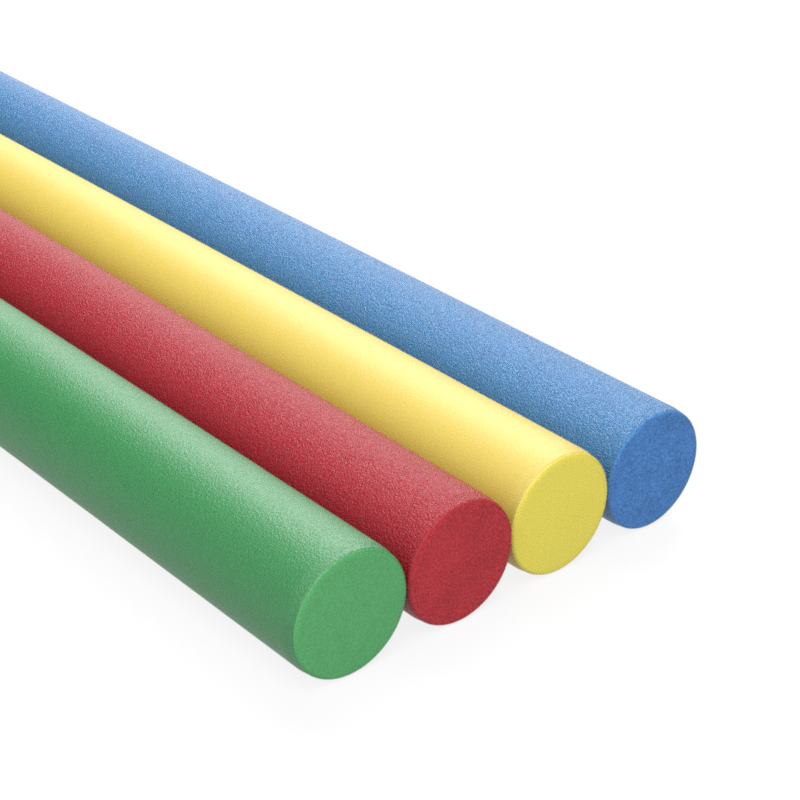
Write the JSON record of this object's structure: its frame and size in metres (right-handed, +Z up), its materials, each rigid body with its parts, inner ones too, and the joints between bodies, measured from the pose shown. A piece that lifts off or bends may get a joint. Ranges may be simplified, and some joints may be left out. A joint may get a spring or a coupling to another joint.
{
  "type": "pool noodle set",
  "caption": "Solid round foam swimming noodles lying side by side in plain colours, each a loose straight rod with flat cut ends and softly rounded rims.",
  "frame": {"origin": "on the floor, under the middle of the row", "axes": "+Y along the noodles, away from the cut ends that the picture shows; +X across the row from green to blue; +Z up from the floor"},
  "size_m": [0.2808, 1.6068, 0.0695],
  "materials": {
    "foam_green": "matte",
    "foam_red": "matte",
    "foam_yellow": "matte",
    "foam_blue": "matte"
  },
  "bodies": {
    "red": {"noodle_red": "foam_red"},
    "green": {"noodle_green": "foam_green"},
    "yellow": {"noodle_yellow": "foam_yellow"},
    "blue": {"noodle_blue": "foam_blue"}
  },
  "joints": [
    {"name": "lift_green", "type": "slide", "parent": "red", "child": "green", "axis": [0, 0, 1], "range_m": [0, 0.15]},
    {"name": "lift_yellow", "type": "slide", "parent": "red", "child": "yellow", "axis": [0, 0, 1], "range_m": [0, 0.15]},
    {"name": "lift_blue", "type": "slide", "parent": "red", "child": "blue", "axis": [0, 0, 1], "range_m": [0, 0.15]}
  ]
}
